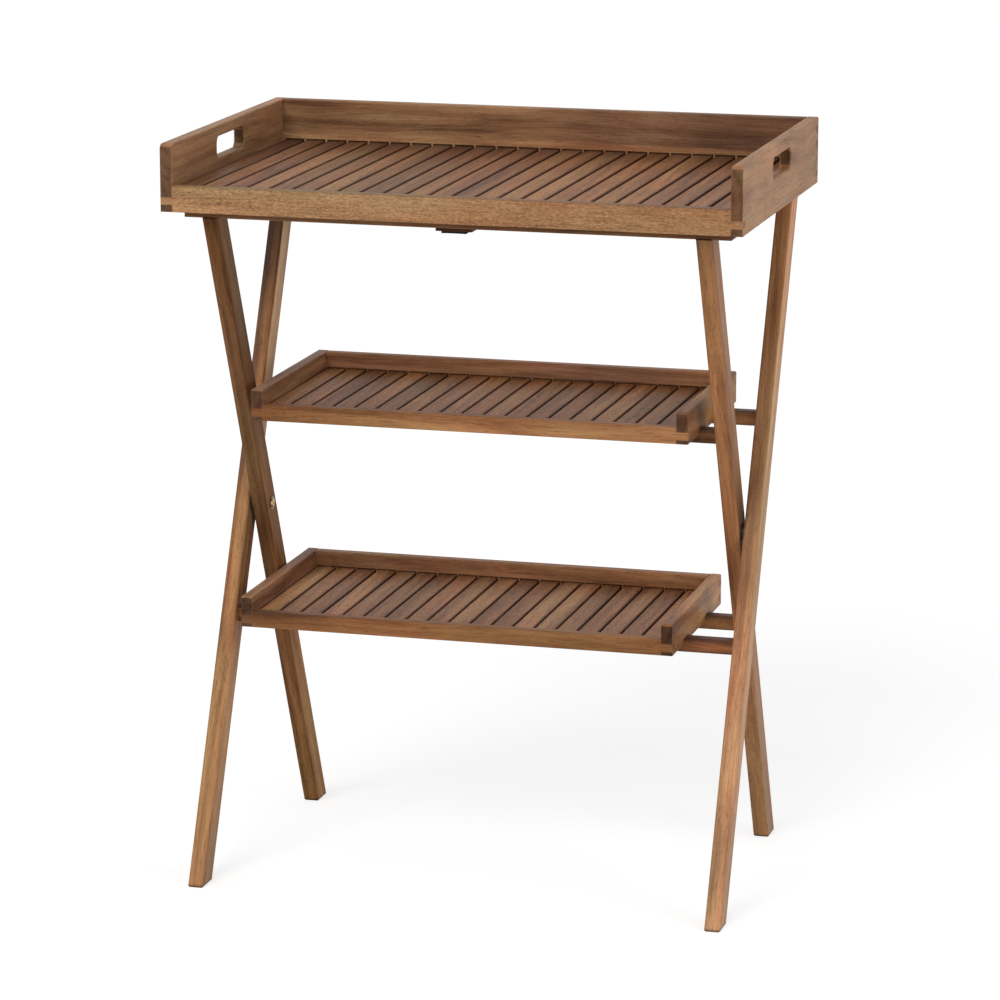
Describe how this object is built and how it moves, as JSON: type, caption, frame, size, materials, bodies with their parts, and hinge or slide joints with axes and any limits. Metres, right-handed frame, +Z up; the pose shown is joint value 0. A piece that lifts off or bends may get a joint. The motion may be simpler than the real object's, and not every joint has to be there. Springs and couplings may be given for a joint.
{
  "type": "folding tray table",
  "caption": "Folding wooden serving table: crossed legs on pivot bolts carry a lift-off slatted tray with hand holes and slatted lift-off shelves below it.",
  "frame": {"origin": "on the floor under the middle of the tray", "axes": "+X to the right as seen from the open front, +Y to the back, +Z up"},
  "size_m": [0.7, 0.433, 0.9125],
  "materials": {
    "leg_wood": "oiled, satin",
    "rail_wood": "oiled, satin",
    "board_wood": "oiled, satin",
    "slat_wood": "oiled, satin",
    "dowel_wood": "bare",
    "brass": "dull",
    "spacer_nylon": "matte",
    "webbing": "woven"
  },
  "bodies": {
    "outer_frame": {"left_outer_leg": "leg_wood", "right_outer_leg": "leg_wood", "back_top_rail": "rail_wood", "back_rail_dowels": "dowel_wood", "middle_back_rail": "rail_wood", "lower_front_rail": "rail_wood", "pivot_bolts": "brass", "pivot_spacers": "spacer_nylon", "pivot_inserts": "brass"},
    "inner_frame": {"left_inner_leg": "leg_wood", "right_inner_leg": "leg_wood", "front_top_rail": "rail_wood", "front_rail_dowels": "dowel_wood", "middle_front_rail": "rail_wood", "lower_back_rail": "rail_wood", "rail_strap": "webbing", "strap_cleat": "rail_wood"},
    "tray": {"tray_back_bearer": "rail_wood", "tray_back_board": "board_wood", "tray_back_stop": "rail_wood", "tray_front_bearer": "rail_wood", "tray_front_board": "board_wood", "tray_front_stop": "rail_wood", "tray_left_side": "board_wood", "tray_right_side": "board_wood", "tray_slats": "slat_wood"},
    "middle_shelf": {"middle_shelf_back_board": "board_wood", "middle_shelf_back_ledge": "rail_wood", "middle_shelf_front_board": "board_wood", "middle_shelf_front_ledge": "rail_wood", "middle_shelf_left_side": "board_wood", "middle_shelf_right_side": "board_wood", "middle_shelf_slats": "slat_wood"},
    "lower_shelf": {"lower_shelf_back_board": "board_wood", "lower_shelf_back_ledge": "rail_wood", "lower_shelf_front_board": "board_wood", "lower_shelf_front_ledge": "rail_wood", "lower_shelf_left_side": "board_wood", "lower_shelf_right_side": "board_wood", "lower_shelf_slats": "slat_wood"}
  },
  "joints": [
    {"name": "fold", "type": "hinge", "parent": "outer_frame", "child": "inner_frame", "pos_m": [0, 0, 0.4365], "axis": [-1, 0, 0], "range_deg": [0, 36]},
    {"name": "lower_shelf_lift", "type": "slide", "parent": "outer_frame", "child": "lower_shelf", "axis": [0, 0, 1], "range_m": [0, 0.13]},
    {"name": "middle_shelf_lift", "type": "slide", "parent": "lower_shelf", "child": "middle_shelf", "axis": [0, 0, 1], "range_m": [0, 0.09]},
    {"name": "tray_lift", "type": "slide", "parent": "lower_shelf", "child": "tray", "axis": [0, 0, 1], "range_m": [0, 0.25]}
  ],
  "couplings": [
    {"joint": "lower_shelf_lift", "follows": "fold", "m_per_rad": 0.206}
  ]
}
